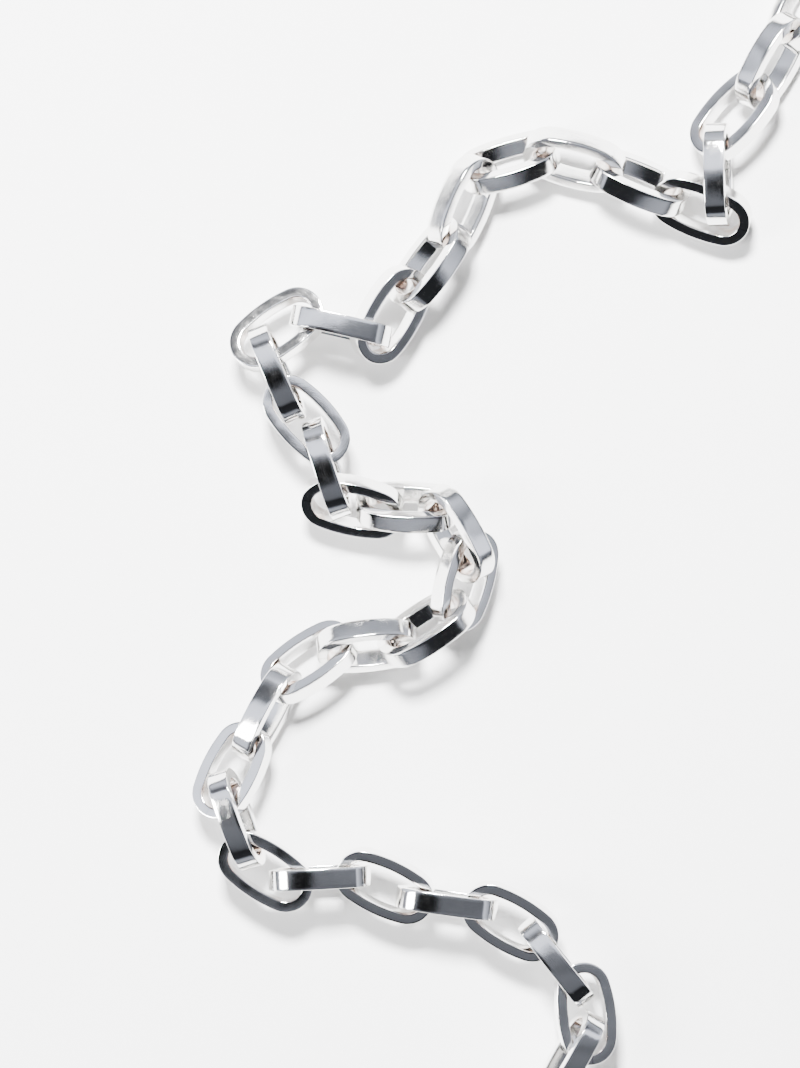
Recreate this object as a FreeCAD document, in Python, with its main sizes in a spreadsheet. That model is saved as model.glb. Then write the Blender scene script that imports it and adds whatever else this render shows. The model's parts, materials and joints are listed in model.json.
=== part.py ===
"""Chunky cable-link necklace laid in an open S, with a lobster clasp.

Every link is its own closed oval loop of rectangular bar.  The loops are threaded
one through the next and lie on the plane z = 0.  The lay is worked out link by
link from the sizes in the sheet and a list of headings, leans and spacings.
Most numbers in that list were fitted by a separate search, so that neighbours
clear each other.  They were not set by hand.
"""
import FreeCAD
import Part
import Sketcher
import math
import os

os.makedirs("parts", exist_ok=True)
V = FreeCAD.Vector
doc = FreeCAD.newDocument("necklace")
sheet = doc.addObject("Spreadsheet::Sheet", "sizes")

SIZES = [
    # alias, value, meaning
    ("link_length", 16.4, "outer length of one link"),
    ("link_width", 9.4, "outer width of one link"),
    ("bar_thick", 1.7, "bar thickness, seen on the flat of the link"),
    ("bar_depth", 3.3, "bar depth, the height of a link lying flat"),
    ("side_bow", 24.0, "outer radius of the bowed long sides"),
    ("edge_round", 0.3, "rounding of the bar's long edges"),
    ("lay_gap", 0.1, "air left between touching pieces"),
    ("lay_play", 0.8, "looseness at a join when the heights are worked out"),
    ("hang_sag", 0.1, "how far a piece may hang off the line of its neighbour"),
    ("ring_wire", 1.6, "wire diameter of the clasp ring"),
    ("ring_bore", 5.6, "inner diameter of the clasp ring"),
    ("clasp_thick", 3.6, "thickness of the clasp body"),
    ("claw_outer", 5.4, "outer radius of the clasp's claw"),
    ("claw_inner", 3.2, "inner radius of the clasp's claw"),
    ("eye_reach", 11.6, "claw centre to the eye that takes the clasp ring"),
    ("eye_outer", 2.8, "outer radius round the eye"),
    ("eye_bore", 1.5, "radius of the eye"),
    ("lever_thick", 1.5, "thickness of the trigger lever"),
    ("lever_slot", 1.9, "width of the slot the lever works in"),
    ("pivot_back", 6.0, "claw centre back to the lever's pivot"),
    ("pivot_side", 1.4, "pivot's offset towards the lever side"),
    ("pin_wire", 1.2, "diameter of the rivet pin"),
    ("spring_wire", 0.3, "wire diameter of the trigger spring"),
]
for row, (alias, value, meaning) in enumerate(SIZES, start=1):
    sheet.set("A%d" % row, meaning)
    sheet.set("B%d" % row, str(value))
    sheet.setAlias("B%d" % row, alias)
row = len(SIZES) + 1
sheet.set("A%d" % row, "outer radius of the link's round ends")
sheet.set("B%d" % row, "=(link_length^2/4 + link_width^2/4 - side_bow*link_width)"
                       "/(link_length - 2*side_bow)")
sheet.setAlias("B%d" % row, "end_round")
doc.recompute()


def size(alias):
    return float(sheet.get(alias))


def plane(body, role):
    """The body's own origin plane or axis with the given role."""
    for feature in body.Origin.OriginFeatures:
        if feature.Role == role:
            return feature
    raise ValueError(role)


def sketch_on(body, name, role="XY_Plane", lift=None):
    sketch = body.newObject("Sketcher::SketchObject", name)
    sketch.AttachmentSupport = (plane(body, role), [""])
    sketch.MapMode = "FlatFace"
    if lift:
        sketch.setExpression("AttachmentOffset.Base.z", lift)
    return sketch


def bound(sketch, constraint, expression):
    """Adds a sized constraint and ties it to the sheet."""
    index = sketch.addConstraint(constraint)
    sketch.setExpression("Constraints[%d]" % index, expression)
    return index


def pad(body, sketch, name, expression, symmetric=True):
    feature = body.newObject("PartDesign::Pad", name)
    feature.Profile = sketch
    feature.setExpression("Length", expression)
    if symmetric:
        feature.SideType = "Symmetric"
    sketch.Visibility = False
    return feature


def pocket(body, sketch, name, expression):
    feature = body.newObject("PartDesign::Pocket", name)
    feature.Profile = sketch
    feature.setExpression("Length", expression)
    feature.SideType = "Symmetric"
    sketch.Visibility = False
    return feature


def round_edges(body, base, name, expression, wanted):
    """Fillets the edges of base that the test 'wanted' picks out."""
    doc.recompute()
    names = []
    for number, edge in enumerate(base.Shape.Edges, start=1):
        if wanted(edge):
            names.append("Edge%d" % number)
    feature = body.newObject("PartDesign::Fillet", name)
    feature.Base = (base, names)
    feature.setExpression("Radius", expression)
    return feature


def lies_flat(edge):
    """True for an edge that stays at one height."""
    box = edge.BoundBox
    return box.ZLength < 1e-6


# ---------------------------------------------------------------- the lay

# One row per piece from the clasp to the last link, which the clasp hooks into:
# kind, heading in degrees, lean in degrees (0 flat, 90 on edge),
# slack kept back along the join to the next piece, sideways shift there.
# Rows 0, 1 and 20 and the last one were adjusted or set by hand.  The headings, leans,
# slacks and shifts of the rest are the results of a search made outside this source.
LAY = [
    ("clasp", 90, 0, 0.1, 0.0),
    ("ring", 95, 90, 0.3, 0.0),
    ("link", 122, 10, 0.8, 0.0),
    ("link", 163, 102, 1.0, 0.0),
    ("link", -154, 28, 1.4, -0.2),
    ("link", -128, -55, 1.0, 0.0),
    ("link", -118, 45, 0.8, 0.0),
    ("link", -120, -52, 1.2, 0.0),
    ("link", -132, 29, 1.2, 0.0),
    ("link", -89, 102, 0.8, 0.6),
    ("link", 158, -30, 1.2, 0.0),
    ("link", 157, 53, 0.8, 0.0),
    ("link", 165, -46, 1.0, 0.2),
    ("link", -163, 48, 0.8, 0.2),
    ("link", -113, -47, 0.8, 0.0),
    ("link", -126, 53, 1.8, -0.8),
    ("link", -120, -28, 1.6, 0.0),
    ("link", 167, 92, 0.8, -0.2),
    ("link", -145, 17, 2.2, 1.0),
    ("link", -67, 96, 3.0, 0.0),
    ("link", -47, -3, 3.2, -0.8),
    ("link", -72, 96, 3.0, -1.4),
    ("link", -12, 30, 3.2, 0.8),
    ("link", -2, -51, 1.6, 0.4),
    ("link", -60, 53, 3.8, 0.4),
    ("link", -105, -36, 1.4, -0.2),
    ("link", -147, 52, 1.8, -0.4),
    ("link", -174, -50, 1.8, -0.6),
    ("link", -146, 34, 1.0, 0.0),
    ("link", -118, 111, 1.0, -0.6),
    ("link", -117, 20, 3.2, 1.0),
    ("link", -70, 104, 1.8, -0.8),
    ("link", -33, 6, 2.6, 0.8),
    ("link", 3, 91, 1.0, 0.0),
    ("link", -25, 12, 1.6, -0.2),
    ("link", -8, 92, 1.0, 0.0),
    ("link", -30, 11, 2.0, 0.2),
    ("link", -52, 91, 2.0, 0.6),
    ("link", -83, -8, 3.6, -1.0),
    ("link", -120, 75, 0.6, -0.2),
    ("link", -105, -10, 0.6, 0.0),
    ("link", -60, 88, 0.8, -0.2),
    ("link", -18, 8, 0.8, 0.0),
    ("link", 8, 90, 0.6, 0.0),
    ("link", 0, 0, 0.0, 0.0),
]
ROOT = 22           # the row the rest of the chain is laid out from


def kind_sizes(kind):
    """reach (centre to bow centre), bow radius, depth, outer width."""
    if kind == "ring":
        radius = size("ring_bore") / 2
        return 0.0, radius, size("ring_wire"), 2 * radius + 2 * size("ring_wire")
    if kind == "clasp":
        return size("eye_reach"), size("eye_bore"), size("clasp_thick"), 2 * size("eye_outer")
    reach = size("link_length") / 2 - size("end_round")
    radius = size("end_round") - size("bar_thick")
    return reach, radius, size("bar_depth"), size("link_width")


def frame(heading, lean):
    """Unit vectors along the piece, across it and out of its flat."""
    a = math.radians(heading)
    b = math.radians(lean)
    along = V(math.cos(a), math.sin(a), 0)
    level = V(-math.sin(a), math.cos(a), 0)
    across = level * math.cos(b) + V(0, 0, 1) * math.sin(b)
    return along, across, along.cross(across)


def rest_height(kind, lean):
    """Centre height of a piece that leans on the plane."""
    reach, radius, depth, width = kind_sizes(kind)
    b = math.radians(lean)
    return width / 2 * abs(math.sin(b)) + depth / 2 * abs(math.cos(b))


def seat_and_pull(i):
    """Bow-to-bow distance of a taut join after piece i, and its direction."""
    along_a, across_a, out_a = frame(*LAY[i][1:3])
    along_b, across_b, out_b = frame(*LAY[i + 1][1:3])
    reach_a, radius_a, depth_a, width_a = kind_sizes(LAY[i][0])
    reach_b, radius_b, depth_b, width_b = kind_sizes(LAY[i + 1][0])
    seat = math.sqrt(radius_a ** 2 - depth_b ** 2 / 4)
    seat += math.sqrt(radius_b ** 2 - depth_a ** 2 / 4)
    pull = out_a.cross(out_b).normalize()
    if pull.dot(along_a + along_b) < 0:
        pull = pull * -1
    return seat, pull


def heights():
    """Every piece rests on the plane or is carried higher by its neighbours."""
    high = [rest_height(row[0], row[2]) for row in LAY]
    for sweep in range(60):
        lifted = 0.0
        for i in range(len(LAY) - 1):
            seat, pull = seat_and_pull(i)
            miss = high[i + 1] - high[i] - pull.z * (seat - size("lay_play"))
            lift = abs(miss) - size("hang_sag")
            if lift > 0:
                high[i if miss > 0 else i + 1] += lift
                lifted += lift
        if lifted < 0.001:
            break
    return high


def placement(centre, heading, lean):
    along, across, out = frame(heading, lean)
    turn = FreeCAD.Rotation(along, across, out, "XYZ")
    return FreeCAD.Placement(centre, turn)


def join(i, slack, shift):
    """Level step from the centre of piece i to the centre of piece i + 1."""
    along_a = frame(*LAY[i][1:3])[0]
    along_b = frame(*LAY[i + 1][1:3])[0]
    seat, pull = seat_and_pull(i)
    side = V(0, 0, 1).cross(pull).normalize()
    step = along_a * kind_sizes(LAY[i][0])[0]
    step += pull * (seat - slack)
    step += side * shift
    step += along_b * kind_sizes(LAY[i + 1][0])[0]
    return V(step.x, step.y, 0)


def posed(gauge, centre, row):
    shape = gauge.copy()
    shape.Placement = placement(centre, row[1], row[2])
    return shape


def clear_step(i, gauges, high):
    """Draws piece i + 1 back from its seat until air shows all round the join."""
    row_a = LAY[i]
    row_b = LAY[i + 1]
    fixed = posed(gauges[row_a[0]], V(0, 0, high[i]), row_a)
    best = None
    for part_shift in (1.0, 0.5, 0.0):
        for back in range(14):
            slack = row_a[3] + 0.25 * back
            step = join(i, slack, row_a[4] * part_shift)
            moved = posed(gauges[row_b[0]], step + V(0, 0, high[i + 1]), row_b)
            gap = fixed.distToShape(moved)[0]
            if best is None or gap > best[0]:
                best = (gap, step)
            if gap >= size("lay_gap"):
                return step
    return best[1]


def centres(gauges):
    level = {ROOT: V(0, 0, 0)}
    high = heights()
    for i in range(ROOT, len(LAY) - 1):
        level[i + 1] = level[i] + clear_step(i, gauges, high)
    for i in range(ROOT - 1, -1, -1):
        level[i] = level[i + 1] - clear_step(i, gauges, high)
    return [V(level[i].x, level[i].y, high[i]) for i in range(len(LAY))]


# ------------------------------------------------------------- the links

def oval_loop(sketch, first, reach, end_r, side_r):
    """Four tangent arcs: right end, upper side, left end, lower side."""
    drop = math.sqrt((side_r - end_r) ** 2 - reach ** 2)
    turn = math.atan2(drop, reach)
    normal = V(0, 0, 1)
    arcs = [
        (V(reach, 0, 0), end_r, -turn, turn),
        (V(0, -drop, 0), side_r, turn, math.pi - turn),
        (V(-reach, 0, 0), end_r, math.pi - turn, math.pi + turn),
        (V(0, drop, 0), side_r, math.pi + turn, 2 * math.pi - turn),
    ]
    for middle, radius, start, stop in arcs:
        circle = Part.Circle(middle, normal, radius)
        sketch.addGeometry(Part.ArcOfCircle(circle, start, stop), False)
    for k in range(4):
        following = first + (k + 1) % 4
        sketch.addConstraint(Sketcher.Constraint("Tangent", first + k, 2, following, 1))
    return first + 4


def link(name, where):
    """One closed oval link of rectangular bar, edges softly rounded."""
    body = doc.addObject("PartDesign::Body", name)
    reach = size("link_length") / 2 - size("end_round")
    end_r = size("end_round")
    side_r = size("side_bow")
    thick = size("bar_thick")
    sketch = sketch_on(body, name + "_outline")
    nxt = oval_loop(sketch, 0, reach, end_r, side_r)
    oval_loop(sketch, nxt, reach, end_r - thick, side_r - thick)
    add = sketch.addConstraint
    for k in (0, 2):
        add(Sketcher.Constraint("PointOnObject", k, 3, -1))
    for k in (1, 3):
        add(Sketcher.Constraint("PointOnObject", k, 3, -2))
    add(Sketcher.Constraint("Symmetric", 0, 3, 2, 3, -1, 1))
    add(Sketcher.Constraint("Equal", 0, 2))
    for k in range(4):
        add(Sketcher.Constraint("Coincident", k, 3, k + 4, 3))
    bound(sketch, Sketcher.Constraint("Radius", 0, end_r), "<<sizes>>.end_round")
    bound(sketch, Sketcher.Constraint("Radius", 1, side_r), "<<sizes>>.side_bow")
    bound(sketch, Sketcher.Constraint("Radius", 4, end_r - thick),
          "<<sizes>>.end_round - <<sizes>>.bar_thick")
    bound(sketch, Sketcher.Constraint("DistanceX", 2, 3, 0, 3, 2 * reach),
          "<<sizes>>.link_length - 2 * <<sizes>>.end_round")
    bar = pad(body, sketch, name + "_bar", "<<sizes>>.bar_depth")
    round_edges(body, bar, name + "_edges", "<<sizes>>.edge_round", lies_flat)
    body.Placement = where
    return body


def round_ring(name, wire, bore, where):
    """A closed ring of round wire lying in its own flat."""
    body = doc.addObject("PartDesign::Body", name)
    sketch = sketch_on(body, name + "_section", "XZ_Plane")
    middle = size(bore) / 2 + size(wire) / 2
    circle = Part.Circle(V(middle, 0, 0), V(0, 0, 1), size(wire) / 2)
    sketch.addGeometry(circle, False)
    sketch.addConstraint(Sketcher.Constraint("PointOnObject", 0, 3, -1))
    bound(sketch, Sketcher.Constraint("Diameter", 0, size(wire)), "<<sizes>>.%s" % wire)
    bound(sketch, Sketcher.Constraint("DistanceX", -1, 1, 0, 3, middle),
          "(<<sizes>>.%s + <<sizes>>.%s) / 2" % (bore, wire))
    feature = body.newObject("PartDesign::Revolution", name + "_wire")
    feature.Profile = sketch
    feature.ReferenceAxis = (sketch, ["V_Axis"])
    feature.Angle = 360
    sketch.Visibility = False
    body.Placement = where
    return body


# ------------------------------------------------------------- the clasp

def polar(middle, radius, degrees):
    a = math.radians(degrees)
    return middle + V(radius * math.cos(a), radius * math.sin(a), 0)


def crossing(radius, pivot, reach):
    """Angle round the claw centre where a circle about the pivot crosses."""
    far = pivot.Length
    cosine = (radius ** 2 + far ** 2 - reach ** 2) / (2 * radius * far)
    return math.degrees(math.acos(cosine) + math.atan2(pivot.y, pivot.x))


def arc(sketch, middle, radius, start, stop):
    circle = Part.Circle(middle, V(0, 0, 1), radius)
    piece = Part.ArcOfCircle(circle, math.radians(start), math.radians(stop))
    return sketch.addGeometry(piece, False)


def line(sketch, start, stop):
    return sketch.addGeometry(Part.LineSegment(start, stop), False)


def path(sketch, points):
    for start, stop in zip(points, points[1:]):
        line(sketch, start, stop)


def hole(body, name, x, y, radius_alias, x_alias=None, y_alias=None, halve=False):
    """A round hole straight through the flat."""
    sketch = sketch_on(body, name + "_circle")
    radius = size(radius_alias) / (2 if halve else 1)
    sketch.addGeometry(Part.Circle(V(x, y, 0), V(0, 0, 1), radius), False)
    kind = "Diameter" if halve else "Radius"
    value = size(radius_alias)
    bound(sketch, Sketcher.Constraint(kind, 0, value), "<<sizes>>.%s" % radius_alias)
    if x_alias:
        bound(sketch, Sketcher.Constraint("DistanceX", -1, 1, 0, 3, x), "<<sizes>>.%s" % x_alias)
    if y_alias:
        bound(sketch, Sketcher.Constraint("DistanceY", -1, 1, 0, 3, y), "<<sizes>>.%s" % y_alias)
    return pocket(body, sketch, name, "3 * <<sizes>>.clasp_thick")


def pivot_point():
    return V(size("pivot_back"), size("pivot_side"), 0)


def clasp_body(where):
    """Lobster-claw body: eye at the back, open claw, slot for the lever."""
    body = doc.addObject("PartDesign::Body", "clasp_body")
    reach = size("eye_reach")
    claw = size("claw_outer")
    eye = size("eye_outer")
    turn = math.degrees(math.acos((claw - eye) / reach))
    outline = sketch_on(body, "clasp_outline")
    arc(outline, V(0, 0, 0), claw, turn, 360 - turn)
    line(outline, polar(V(0, 0, 0), claw, -turn), polar(V(reach, 0, 0), eye, -turn))
    arc(outline, V(reach, 0, 0), eye, -turn, turn)
    line(outline, polar(V(reach, 0, 0), eye, turn), polar(V(0, 0, 0), claw, turn))
    add = outline.addConstraint
    add(Sketcher.Constraint("Tangent", 0, 2, 1, 1))
    add(Sketcher.Constraint("Tangent", 1, 2, 2, 1))
    add(Sketcher.Constraint("Tangent", 2, 2, 3, 1))
    add(Sketcher.Constraint("Tangent", 3, 2, 0, 1))
    add(Sketcher.Constraint("Coincident", 0, 3, -1, 1))
    add(Sketcher.Constraint("PointOnObject", 2, 3, -1))
    bound(outline, Sketcher.Constraint("Radius", 0, claw), "<<sizes>>.claw_outer")
    bound(outline, Sketcher.Constraint("Radius", 2, eye), "<<sizes>>.eye_outer")
    bound(outline, Sketcher.Constraint("DistanceX", 0, 3, 2, 3, reach), "<<sizes>>.eye_reach")
    block = pad(body, outline, "clasp_block", "<<sizes>>.clasp_thick")
    round_edges(body, block, "clasp_edges", "2 * <<sizes>>.edge_round", lies_flat)
    hole(body, "clasp_mouth", 0, 0, "claw_inner")
    hole(body, "clasp_eye", reach, 0, "eye_bore", "eye_reach")
    # the gate: wall cut away between the nose and the shoulder
    pivot = pivot_point()
    swing = pivot.Length + size("claw_inner") * 0.93
    inner = size("claw_inner") * 0.98
    low = crossing(inner, pivot, swing)
    start = polar(V(0, 0, 0), inner, low)
    first = math.degrees(math.atan2(start.y - pivot.y, start.x - pivot.x)) % 360
    top = polar(pivot, swing, 128)
    shoulder = size("claw_inner") * 0.9
    gate = sketch_on(body, "clasp_gate_outline")
    arc(gate, pivot, swing, 128, first)
    path(gate, [start, V(shoulder, 0.3 * size("claw_inner"), 0), V(shoulder, top.y, 0), top])
    pocket(body, gate, "clasp_gate", "3 * <<sizes>>.clasp_thick")
    # the slot the lever turns in
    left = size("claw_inner") * 0.75
    right = size("pivot_back") + 2.6
    floor = -1.3
    roof = size("claw_outer") + 1
    slot = sketch_on(body, "clasp_slot_outline")
    path(slot, [V(left, floor, 0), V(right, floor, 0), V(right, roof, 0), V(left, roof, 0),
                V(left, floor, 0)])
    pocket(body, slot, "clasp_slot", "<<sizes>>.lever_slot")
    hole(body, "clasp_pin_hole", pivot.x, pivot.y, "pin_wire", "pivot_back", "pivot_side", True)
    body.Placement = where
    return body


def clasp_lever(where):
    """Trigger lever: hub on the pin, arm closing the gate, thumb tab."""
    body = doc.addObject("PartDesign::Body", "clasp_lever")
    pivot = pivot_point()
    middle = V(0, 0, 0)
    swing = pivot.Length + size("claw_inner") * 0.93 - 0.15
    inner = size("claw_inner") + 0.15
    outer = size("claw_outer") - 0.15
    hub = size("pin_wire") / 2 + 0.75
    tip_in = crossing(inner, pivot, swing)
    tip_out = crossing(outer, pivot, swing)
    end_in = polar(middle, inner, tip_in)
    end_out = polar(middle, outer, tip_out)
    face_in = math.degrees(math.atan2(end_in.y - pivot.y, end_in.x - pivot.x)) % 360
    face_out = math.degrees(math.atan2(end_out.y - pivot.y, end_out.x - pivot.x)) % 360
    tab = V(pivot.x - 0.4, outer + 0.9, 0)
    sketch = sketch_on(body, "lever_outline")
    arc(sketch, middle, outer, 60, tip_out)
    arc(sketch, pivot, swing, face_out, face_in)
    arc(sketch, middle, inner, 25, tip_in)
    path(sketch, [polar(middle, inner, 25), polar(pivot, hub, 215)])
    arc(sketch, pivot, hub, 215, 385)
    path(sketch, [polar(pivot, hub, 25), tab + V(0.5, -0.5, 0), tab,
                  tab + V(-1.9, 0.1, 0), polar(middle, outer, 60)])
    pad(body, sketch, "lever_plate", "<<sizes>>.lever_thick")
    bore = sketch_on(body, "lever_bore_circle")
    radius = size("pin_wire") / 2 + 0.06
    bore.addGeometry(Part.Circle(pivot, V(0, 0, 1), radius), False)
    bound(bore, Sketcher.Constraint("Radius", 0, radius), "<<sizes>>.pin_wire / 2 + 0.06")
    pocket(body, bore, "lever_bore", "3 * <<sizes>>.clasp_thick")
    body.Placement = where
    return body


def clasp_pin(where):
    """Rivet pin through both cheeks, flush with the faces."""
    body = doc.addObject("PartDesign::Body", "clasp_pin")
    pivot = pivot_point()
    sketch = sketch_on(body, "pin_circle")
    sketch.addGeometry(Part.Circle(pivot, V(0, 0, 1), size("pin_wire") / 2), False)
    bound(sketch, Sketcher.Constraint("Diameter", 0, size("pin_wire")), "<<sizes>>.pin_wire")
    bound(sketch, Sketcher.Constraint("DistanceX", -1, 1, 0, 3, pivot.x), "<<sizes>>.pivot_back")
    bound(sketch, Sketcher.Constraint("DistanceY", -1, 1, 0, 3, pivot.y), "<<sizes>>.pivot_side")
    pad(body, sketch, "pin_shank", "<<sizes>>.clasp_thick")
    body.Placement = where
    return body


def clasp_spring(where):
    """Bent leaf spring lying on the slot floor behind the lever's hub."""
    body = doc.addObject("PartDesign::Body", "clasp_spring")
    wire = size("spring_wire")
    pivot = pivot_point()
    floor = -1.3
    back = pivot.x + 2.6 - 0.15
    heel = pivot.x + size("pin_wire") / 2 + 0.75 + 0.1
    sketch = sketch_on(body, "spring_outline")
    path(sketch, [V(pivot.x - 1.2, floor, 0), V(back, floor, 0),
                  V(heel + wire, pivot.y + 0.9, 0), V(heel, pivot.y + 0.9, 0),
                  V(back - wire * 1.3, floor + wire, 0), V(pivot.x - 1.2, floor + wire, 0),
                  V(pivot.x - 1.2, floor, 0)])
    pad(body, sketch, "spring_leaf", "<<sizes>>.lever_thick - 0.2")
    body.Placement = where
    return body


# ---------------------------------------------------------- the necklace

flat = FreeCAD.Placement()
pieces = []
for number in range(1, len(LAY) - 1):
    pieces.append(link("link_%02d" % number, flat))
front_ring = round_ring("clasp_ring", "ring_wire", "ring_bore", flat)
claw_set = [clasp_body(flat), clasp_lever(flat), clasp_pin(flat), clasp_spring(flat)]
doc.recompute()

GAUGES = {
    "clasp": claw_set[0].Shape,
    "ring": front_ring.Shape,
    "link": doc.getObject("link_01_bar").Shape,
}
spots = centres(GAUGES)
chain = [claw_set, [front_ring]] + [[piece] for piece in pieces]
for group, spot, row in zip(chain, spots, LAY):
    for body in group:
        body.Placement = placement(spot, row[1], row[2])
doc.recompute()

# the origin is the middle of the foot of everything together
everything = [body for group in chain for body in group]
whole = FreeCAD.BoundBox()
for body in everything:
    box = body.Shape.optimalBoundingBox(False, False)
    whole.add(box)
foot = V((whole.XMin + whole.XMax) / 2, (whole.YMin + whole.YMax) / 2, whole.ZMin)
for body in everything:
    held = body.Placement
    body.Placement = FreeCAD.Placement(held.Base - foot, held.Rotation)
doc.recompute()

for thing in doc.Objects:
    if "Invalid" in thing.State or "Error" in thing.State:
        raise RuntimeError("%s is not sound: %s" % (thing.Name, thing.State))
for body in everything:
    shape = body.Shape
    if shape.isNull() or not shape.isValid() or len(shape.Solids) != 1:
        raise RuntimeError("%s has no sound solid" % body.Label)
for body in everything:
    body.Shape.exportStep("parts/%s.step" % body.Label)
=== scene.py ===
"""Chunky silver cable necklace lying on a pale table, seen from straight above."""
import bmesh
import bpy
import json
import math
from mathutils import Matrix, Vector

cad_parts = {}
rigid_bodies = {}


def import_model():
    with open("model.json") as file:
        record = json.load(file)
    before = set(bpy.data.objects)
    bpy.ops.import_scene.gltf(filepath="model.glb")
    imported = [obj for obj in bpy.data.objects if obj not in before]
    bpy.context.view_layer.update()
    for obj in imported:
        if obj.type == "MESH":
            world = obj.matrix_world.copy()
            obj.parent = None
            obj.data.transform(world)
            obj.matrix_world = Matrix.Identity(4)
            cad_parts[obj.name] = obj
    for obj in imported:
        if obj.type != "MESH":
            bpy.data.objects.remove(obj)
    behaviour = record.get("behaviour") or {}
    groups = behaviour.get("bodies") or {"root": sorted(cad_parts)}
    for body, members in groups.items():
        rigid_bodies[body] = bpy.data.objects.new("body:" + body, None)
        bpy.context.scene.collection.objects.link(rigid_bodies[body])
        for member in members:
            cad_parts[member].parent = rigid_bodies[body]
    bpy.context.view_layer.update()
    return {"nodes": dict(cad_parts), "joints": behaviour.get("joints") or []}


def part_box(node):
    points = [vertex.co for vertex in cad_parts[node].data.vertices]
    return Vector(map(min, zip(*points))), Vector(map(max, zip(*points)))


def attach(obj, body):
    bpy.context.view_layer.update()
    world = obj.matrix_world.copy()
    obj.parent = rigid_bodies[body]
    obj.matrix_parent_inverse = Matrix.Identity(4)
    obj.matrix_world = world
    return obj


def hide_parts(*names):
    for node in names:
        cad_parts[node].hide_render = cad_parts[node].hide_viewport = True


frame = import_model()
MM = 0.001

# sizes of the links and the clasp ring, in metres
LINK_COUNT = 43
LINK_LENGTH = 16.4 * MM
LINK_WIDTH = 9.4 * MM
BAR_THICK = 1.7 * MM
BAR_DEPTH = 3.3 * MM
SIDE_BOW = 24.0 * MM
RING_WIRE = 1.6 * MM
RING_BORE = 5.6 * MM
WHEEL_ROUND = 0.13 * MM         # what the polishing wheel takes off each long edge
WHEEL_CROWN = 0.015             # fall of the broad faces at their edges, as a share of half the bar
WHEEL_CROWN_EDGE = 0.01         # the same on the narrow faces
SILVER_HEX = "#EDECEA"
SOLDER_HEX = "#8C867E"
TARNISH_HEX = "#B99E8E"
GRAIN_SHIFT = 7.3               # moves the polishing grain from link to link, in millimetres


def linear(hex_code):
    """sRGB hex to the linear colour a shader wants."""
    out = []
    for k in (1, 3, 5):
        c = int(hex_code[k:k + 2], 16) / 255
        out.append(c / 12.92 if c <= 0.04045 else ((c + 0.055) / 1.055) ** 2.4)
    return (*out, 1.0)


# ------------------------------------------------------------ materials

def add(tree, kind, settings=None, links=None):
    """Adds a node, sets its properties and sockets, and wires its inputs."""
    node = tree.nodes.new(kind)
    for name, value in (settings or {}).items():
        if isinstance(name, str) and hasattr(node, name):
            setattr(node, name, value)
        else:
            node.inputs[name].default_value = value
    for name, source in (links or {}).items():
        tree.links.new(source, node.inputs[name])
    return node


def fresh(name):
    material = bpy.data.materials.new(name)
    material.use_nodes = True
    tree = material.node_tree
    tree.nodes.clear()
    return material, tree


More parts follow.
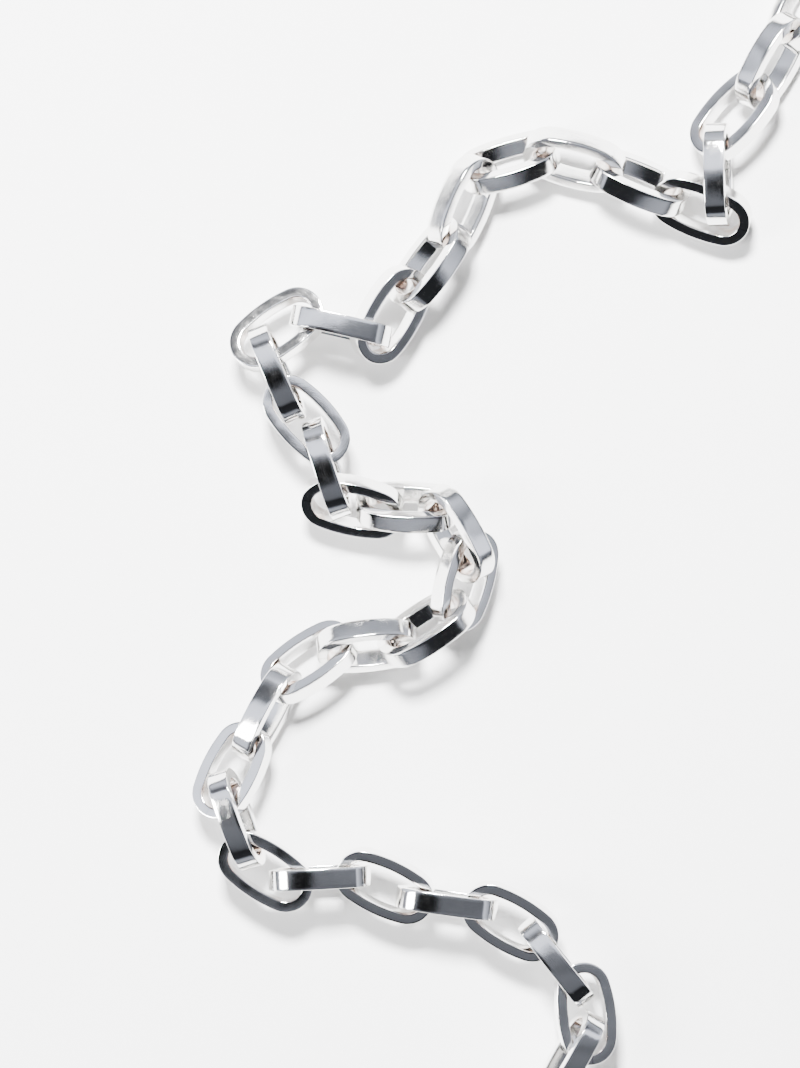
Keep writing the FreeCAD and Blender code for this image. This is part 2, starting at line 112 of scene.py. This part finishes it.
def polished_silver(name="polished sterling silver", bar_map=True):
    """Sterling silver, mirror-polished on a cloth wheel after soldering or casting.

    The wheel leaves a faint grain along the bar and a soft waviness, so a
    reflection runs in long clean bands with slightly hazy edges.
    """
    material, tree = fresh(name)
    shader = add(tree, "ShaderNodeBsdfPrincipled",
                 {"Base Color": linear(SILVER_HEX), "Metallic": 1.0, "Roughness": 0.1})
    where = add(tree, "ShaderNodeTexCoord")
    # slow waviness from the polishing wheel, about 6 mm from crest to crest
    wave = add(tree, "ShaderNodeTexNoise", {"Scale": 160.0, "Detail": 1.5, "Roughness": 0.35},
               {"Vector": where.outputs["Object"]})
    soft = add(tree, "ShaderNodeBump", {"Strength": 0.9, "Distance": 0.00018},
               {"Height": wave.outputs["Fac"]})
    last = soft
    haze = add(tree, "ShaderNodeTexNoise", {"Scale": 900.0, "Detail": 5.0, "Roughness": 0.65},
               {"Vector": where.outputs["Object"]})
    rough = add(tree, "ShaderNodeMapRange",
                {"From Min": 0.3, "From Max": 0.75, "To Min": 0.02, "To Max": 0.09},
                {"Value": haze.outputs["Fac"]})
    if bar_map:
        # polishing grain drawn out along the bar, lines about 0.1 mm apart
        bar = add(tree, "ShaderNodeMapping", {"Scale": (0.35, 9.0, 1.0)},
                  {"Vector": where.outputs["UV"]})
        grain = add(tree, "ShaderNodeTexNoise", {"Scale": 1.0, "Detail": 4.0, "Roughness": 0.7},
                    {"Vector": bar.outputs["Vector"]})
        last = add(tree, "ShaderNodeBump", {"Strength": 0.22, "Distance": 0.00003},
                   {"Height": grain.outputs["Fac"], "Normal": soft.outputs["Normal"]})
        both = add(tree, "ShaderNodeMath", {"operation": "MULTIPLY_ADD", 1: 0.07},
                   {0: grain.outputs["Fac"], 2: rough.outputs["Result"]})
        tree.links.new(both.outputs["Value"], shader.inputs["Roughness"])
        # the soldered joint: a hair line across the bar, a little duller and darker
        split = add(tree, "ShaderNodeSeparateXYZ", {}, {"Vector": where.outputs["UV"]})
        wander = add(tree, "ShaderNodeMath", {"operation": "MULTIPLY_ADD", 1: 0.16},
                     {0: haze.outputs["Fac"], 2: split.outputs["X"]})
        near = add(tree, "ShaderNodeMath", {"operation": "COMPARE", 1: 0.09, 2: 0.045},
                   {0: wander.outputs["Value"]})
        seam = add(tree, "ShaderNodeMix", {"data_type": "RGBA", "blend_type": "MIX",
                                           6: linear(SILVER_HEX), 7: linear(SOLDER_HEX)},
                   {"Factor": near.outputs["Value"]})
        # faint warm tarnish in the bows, rubbed away in patches by handling
        bow = add(tree, "ShaderNodeAttribute", {"attribute_name": "bow"})
        patch = add(tree, "ShaderNodeTexNoise", {"Scale": 420.0, "Detail": 3.0},
                    {"Vector": where.outputs["Object"]})
        rub = add(tree, "ShaderNodeMapRange", {"From Min": 0.35, "From Max": 0.65, "To Max": 0.8},
                  {"Value": patch.outputs["Fac"]})
        amount = add(tree, "ShaderNodeMath", {"operation": "MULTIPLY"},
                     {0: bow.outputs["Fac"], 1: rub.outputs["Result"]})
        tint = add(tree, "ShaderNodeMix", {"data_type": "RGBA", 7: linear(TARNISH_HEX)},
                   {"Factor": amount.outputs["Value"], 6: seam.outputs[2]})
        tree.links.new(tint.outputs[2], shader.inputs["Base Color"])
    else:
        tree.links.new(rough.outputs["Result"], shader.inputs["Roughness"])
    tree.links.new(last.outputs["Normal"], shader.inputs["Normal"])
    out = add(tree, "ShaderNodeOutputMaterial")
    tree.links.new(shader.outputs["BSDF"], out.inputs["Surface"])
    return material


def spring_steel():
    """Cold-rolled stainless spring strip: grey, fine rolling lines, half matt."""
    material, tree = fresh("rolled spring steel")
    shader = add(tree, "ShaderNodeBsdfPrincipled",
                 {"Base Color": linear("#A6A6A8"), "Metallic": 1.0, "Roughness": 0.3})
    where = add(tree, "ShaderNodeTexCoord")
    drawn = add(tree, "ShaderNodeMapping", {"Scale": (400.0, 9000.0, 9000.0)},
                {"Vector": where.outputs["Object"]})
    lines = add(tree, "ShaderNodeTexNoise", {"Scale": 1.0, "Detail": 3.0},
                {"Vector": drawn.outputs["Vector"]})
    rough = add(tree, "ShaderNodeMapRange", {"To Min": 0.22, "To Max": 0.42},
                {"Value": lines.outputs["Fac"]})
    tree.links.new(rough.outputs["Result"], shader.inputs["Roughness"])
    out = add(tree, "ShaderNodeOutputMaterial")
    tree.links.new(shader.outputs["BSDF"], out.inputs["Surface"])
    return material


def table_card():
    """Matt white laminated card: almost even, with a faint paper tooth."""
    material, tree = fresh("matt white card")
    shader = add(tree, "ShaderNodeBsdfPrincipled",
                 {"Base Color": linear("#F1F1F1"), "Roughness": 0.7, "Specular IOR Level": 0.2})
    where = add(tree, "ShaderNodeTexCoord")
    tooth = add(tree, "ShaderNodeTexNoise", {"Scale": 700.0, "Detail": 3.0},
                {"Vector": where.outputs["Object"]})
    shade = add(tree, "ShaderNodeMix", {"data_type": "RGBA", 6: linear("#F1F1F1"),
                                        7: linear("#F4F4F4")},
                {"Factor": tooth.outputs["Fac"]})
    tree.links.new(shade.outputs[2], shader.inputs["Base Color"])
    out = add(tree, "ShaderNodeOutputMaterial")
    tree.links.new(shader.outputs["BSDF"], out.inputs["Surface"])
    return material


SILVER = polished_silver()
CLASP_SILVER = polished_silver("polished cast silver", bar_map=False)
STEEL = spring_steel()

# ------------------------------------------------------------ the links

END_ROUND = ((LINK_LENGTH ** 2 / 4 + LINK_WIDTH ** 2 / 4 - SIDE_BOW * LINK_WIDTH)
             / (LINK_LENGTH - 2 * SIDE_BOW))
REACH = LINK_LENGTH / 2 - END_ROUND
DROP = math.sqrt((SIDE_BOW - END_ROUND) ** 2 - REACH ** 2)
TURN = math.atan2(DROP, REACH)


def bar_section(bm):
    """Rounded, slightly crowned rectangle of bar standing at the right bow."""
    bmesh.ops.create_grid(bm, x_segments=1, y_segments=1, size=0.5)
    bmesh.ops.scale(bm, vec=(BAR_THICK, BAR_DEPTH, 1), verts=bm.verts)
    bmesh.ops.bevel(bm, geom=list(bm.verts), offset=WHEEL_ROUND, offset_type="OFFSET",
                    affect="VERTICES", segments=4, profile=0.5, material=-1)
    long_edges = [e for e in bm.edges if e.calc_length() > 0.6 * MM]
    bmesh.ops.subdivide_edges(bm, edges=long_edges, cuts=5)
    for vert in bm.verts:
        # polishing crowns the faces by one or two hundredths of a millimetre
        across = 2 * vert.co.x / BAR_THICK
        deep = 2 * vert.co.y / BAR_DEPTH
        vert.co.x *= 1 - WHEEL_CROWN * deep * deep
        vert.co.y *= 1 - WHEEL_CROWN_EDGE * across * across
    bmesh.ops.delete(bm, geom=list(bm.faces), context="FACES_ONLY")
    bmesh.ops.rotate(bm, verts=bm.verts, cent=(0, 0, 0), matrix=Matrix.Rotation(math.pi / 2, 3, "X"))
    bmesh.ops.translate(bm, verts=bm.verts, vec=(LINK_LENGTH / 2 - BAR_THICK / 2, 0, 0))


def swept_bar():
    """One closed link: the bar section carried round four tangent arcs."""
    bm = bmesh.new()
    bar_section(bm)
    rounds = [
        ((REACH, 0, 0), TURN, 16),
        ((0, -DROP, 0), math.pi - 2 * TURN, 22),
        ((-REACH, 0, 0), 2 * TURN, 32),
        ((0, DROP, 0), math.pi - 2 * TURN, 22),
        ((REACH, 0, 0), TURN, 16),
    ]
    front = list(bm.verts) + list(bm.edges)
    for centre, angle, steps in rounds:
        made = bmesh.ops.spin(bm, geom=front, cent=centre, axis=(0, 0, 1), dvec=(0, 0, 0),
                              angle=angle, steps=steps, use_merge=False, use_duplicate=False)
        front = made["geom_last"]
    bmesh.ops.remove_doubles(bm, verts=bm.verts, dist=0.002 * MM)
    bmesh.ops.recalc_face_normals(bm, faces=bm.faces)
    return bm


def run_along(point):
    """Distance round the link from its right bow, in millimetres, at the bar's middle."""
    mid_end = END_ROUND - BAR_THICK / 2
    mid_side = SIDE_BOW - BAR_THICK / 2
    end_run = mid_end * TURN
    side_run = mid_side * (math.pi - 2 * TURN)
    low = point.y < 0
    up = math.atan2(abs(point.y) + DROP, abs(point.x))
    if up < TURN:
        inner = math.atan2(abs(point.y), abs(point.x) - REACH)
        run = mid_end * inner
    else:
        run = end_run + mid_side * (up - TURN)
    whole = 2 * (2 * end_run + side_run)
    if point.x < 0:
        run = 2 * end_run + side_run - run
    if low:
        run = whole - run
    return run / MM, whole / MM


def map_bar(bm, offset):
    """UV in millimetres: U along the bar from the solder joint, V across it.

    The attribute 'bow' is 1 on the inner wall of the round ends, where the wheel can't reach.
    """
    layer = bm.loops.layers.uv.new("bar")
    tuck = bm.verts.layers.float.new("bow")
    for vert in bm.verts:
        from_bow = math.hypot(abs(vert.co.x) - REACH, vert.co.y)
        deep_in = (END_ROUND - 0.75 * BAR_THICK - from_bow) / (0.25 * BAR_THICK)
        end = (abs(vert.co.x) - REACH + 1.2 * MM) / (1.6 * MM)
        vert[tuck] = max(0, min(1, deep_in)) * max(0, min(1, end))
    for face in bm.faces:
        middle, whole = run_along(face.calc_center_median())
        for loop in face.loops:
            run, whole = run_along(loop.vert.co)
            if run - middle > whole / 2:
                run -= whole
            if middle - run > whole / 2:
                run += whole
            flat = math.hypot(loop.vert.co.x, loop.vert.co.y) / MM
            loop[layer].uv = (run, loop.vert.co.z / MM + flat * 0.8 + offset)


def in_place(bm, name, turn, spot, material):
    bmesh.ops.transform(bm, matrix=Matrix.Translation(spot) @ turn.to_4x4(), verts=bm.verts)
    mesh = bpy.data.meshes.new(name)
    bm.to_mesh(mesh)
    bm.free()
    mesh.shade_smooth()
    mesh.materials.append(material)
    thing = bpy.data.objects.new(name, mesh)
    bpy.context.scene.collection.objects.link(thing)
    return thing


def pose_of(node):
    """Centre of a link or ring, and its turn: X along it, Z out of its flat."""
    low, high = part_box(node)
    centre = (low + high) / 2
    for joint in frame["joints"]:
        if joint["parent"] == node:
            out = Vector(joint["axis"]).normalized()
            along = Vector(joint["pos_m"]) - centre
            along = along - out * along.dot(out)
            if along.length < 0.1 * MM:
                along = Vector((0, 0, 1)).cross(out)
            along.normalize()
            return centre, Matrix((along, out.cross(along), out)).transposed()
    return centre, Matrix.Identity(3)


for number in range(1, LINK_COUNT + 1):
    node = "link_%02d" % number
    spot, turn = pose_of(node)
    bm = swept_bar()
    map_bar(bm, number * GRAIN_SHIFT)
    piece = in_place(bm, "silver_" + node, turn, spot, SILVER)
    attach(piece, node)
    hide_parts(node)


# ------------------------------------------------------------ the clasp

def wire_ring(node):
    """Clasp ring of round wire, spun from one circle."""
    spot, turn = pose_of(node)
    bm = bmesh.new()
    bmesh.ops.create_circle(bm, cap_ends=False, segments=20, radius=RING_WIRE / 2)
    bmesh.ops.rotate(bm, verts=bm.verts, cent=(0, 0, 0), matrix=Matrix.Rotation(math.pi / 2, 3, "X"))
    bmesh.ops.translate(bm, verts=bm.verts, vec=(RING_BORE / 2 + RING_WIRE / 2, 0, 0))
    bmesh.ops.spin(bm, geom=list(bm.verts) + list(bm.edges), cent=(0, 0, 0), axis=(0, 0, 1),
                   dvec=(0, 0, 0), angle=2 * math.pi, steps=64, use_merge=True,
                   use_duplicate=False)
    bmesh.ops.recalc_face_normals(bm, faces=bm.faces)
    return in_place(bm, "silver_" + node, turn, spot, CLASP_SILVER)


ring = wire_ring("clasp_ring")
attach(ring, "clasp_ring")
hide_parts("clasp_ring")
for node, finish in (("clasp_body", CLASP_SILVER), ("clasp_lever", CLASP_SILVER),
                     ("clasp_pin", CLASP_SILVER), ("clasp_spring", STEEL)):
    cad = frame["nodes"][node]
    cad.data.materials.clear()
    cad.data.materials.append(finish)

# ------------------------------------------------------------ the studio

TABLE_HALF = 3.0
bm = bmesh.new()
bmesh.ops.create_grid(bm, x_segments=1, y_segments=1, size=TABLE_HALF)
table = in_place(bm, "table_top", Matrix.Identity(3), Vector((0, 0, 0)), table_card())

world = bpy.data.worlds.new("light tent")
bpy.context.scene.world = world
world.use_nodes = True
sky = world.node_tree
sky.nodes.clear()
look = add(sky, "ShaderNodeTexCoord")
parts = add(sky, "ShaderNodeSeparateXYZ", {}, {"Vector": look.outputs["Generated"]})


def bands(stops, source):
    """A row of tent panels: brightness against one direction."""
    ramp = add(sky, "ShaderNodeValToRGB", {}, {"Fac": source})
    while len(ramp.color_ramp.elements) < len(stops):
        ramp.color_ramp.elements.new(0.5)
    for element, (place, value) in zip(ramp.color_ramp.elements, stops):
        element.position = place
        element.color = (value * 0.94, value * 0.97, value * 1.05, 1)
    return ramp


def spread(source):
    """Turns -1 to 1 into 0 to 1."""
    return add(sky, "ShaderNodeMapRange", {"From Min": -1.0, "From Max": 1.0},
               {"Value": source}).outputs["Result"]


# panels hung from the near edge of the table, over the camera, to the far edge
rows = bands([(0.00, 0.7), (0.03, 0.5), (0.06, 0.03), (0.21, 0.02), (0.27, 0.16), (0.36, 0.21),
              (0.43, 0.15), (0.48, 0.24), (0.545, 0.34), (0.57, 2.0), (0.66, 1.8), (0.70, 0.22),
              (0.76, 0.12), (0.80, 0.45), (0.86, 1.2), (1.00, 0.7)],
             spread(parts.outputs["Y"]))
# white side walls left and right
sides = bands([(0.00, 0.5), (0.04, 0.9), (0.10, 1.3), (0.14, 0.0), (0.88, 0.0), (0.91, 1.2),
               (0.95, 0.9), (1.00, 0.3)], spread(parts.outputs["X"]))
weave = add(sky, "ShaderNodeMix", {"data_type": "RGBA", "blend_type": "LIGHTEN", "Factor": 1.0},
            {6: rows.outputs["Color"], 7: sides.outputs["Color"]})
# the tent is dimmer near the level of the table
rim = bands([(0.00, 1.0), (0.49, 1.0), (0.50, 0.20), (0.54, 0.35), (0.60, 1.0)],
            spread(parts.outputs["Z"]))
dimmed = add(sky, "ShaderNodeMix", {"data_type": "RGBA", "blend_type": "MULTIPLY", "Factor": 1.0},
             {6: weave.outputs[2], 7: rim.outputs["Color"]})
# a small black flag hung beside the camera
apart = add(sky, "ShaderNodeVectorMath", {"operation": "DISTANCE", 1: (-0.25, -0.12, 0.96)},
            {0: look.outputs["Generated"]})
flag = add(sky, "ShaderNodeMapRange", {"From Min": 0.13, "From Max": 0.20, "To Min": 0.04,
                                       "To Max": 1.0}, {"Value": apart.outputs["Value"]})
mixed = add(sky, "ShaderNodeMix", {"data_type": "RGBA", "blend_type": "MULTIPLY", "Factor": 1.0},
            {6: dimmed.outputs[2], 7: flag.outputs["Result"]})
path = add(sky, "ShaderNodeLightPath")
plain = add(sky, "ShaderNodeMix", {"data_type": "RGBA", 7: linear("#EFEFEF")},
            {"Factor": path.outputs["Is Camera Ray"], 6: mixed.outputs[2]})
# matt surfaces take little light from the tent, so the key softbox's shadows stay clear
level = add(sky, "ShaderNodeMapRange", {"To Min": 1.0, "To Max": 0.12},
            {"Value": path.outputs["Is Diffuse Ray"]})
glow = add(sky, "ShaderNodeBackground", {},
           {"Color": plain.outputs[2], "Strength": level.outputs["Result"]})
add(sky, "ShaderNodeOutputWorld", {}, {"Surface": glow.outputs["Background"]})


def softbox(name, spot, aim, wide, tall, power):
    lamp = bpy.data.lights.new(name, "AREA")
    lamp.shape = "RECTANGLE"
    lamp.size = wide
    lamp.size_y = tall
    lamp.energy = power
    thing = bpy.data.objects.new(name, lamp)
    thing.location = spot
    thing.rotation_euler = (Vector(aim) - Vector(spot)).to_track_quat("-Z", "Y").to_euler()
    bpy.context.scene.collection.objects.link(thing)


softbox("key softbox", (-0.12, 0.52, 0.86), (0, 0.03, 0), 0.22, 0.18, 76.0)
softbox("side fill", (-0.75, -0.1, 0.55), (0, 0, 0), 0.25, 0.5, 16.0)

# camera straight above, a little to the right and near side of the middle link
low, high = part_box("link_21")
middle = (low + high) / 2 + Vector((7.5, -4.5, 0)) * MM
distance = 0.95                 # above the table
view_height = 170.9 * MM        # of table in the frame, top to bottom
camera = bpy.data.cameras.new("camera")
camera.sensor_width = 36.0
camera.lens = 36.0 * distance / view_height
camera.clip_start = 0.05
camera.clip_end = 20.0
eye = bpy.data.objects.new("camera", camera)
eye.location = (middle.x, middle.y, distance)
bpy.context.scene.collection.objects.link(eye)
bpy.context.scene.camera = eye
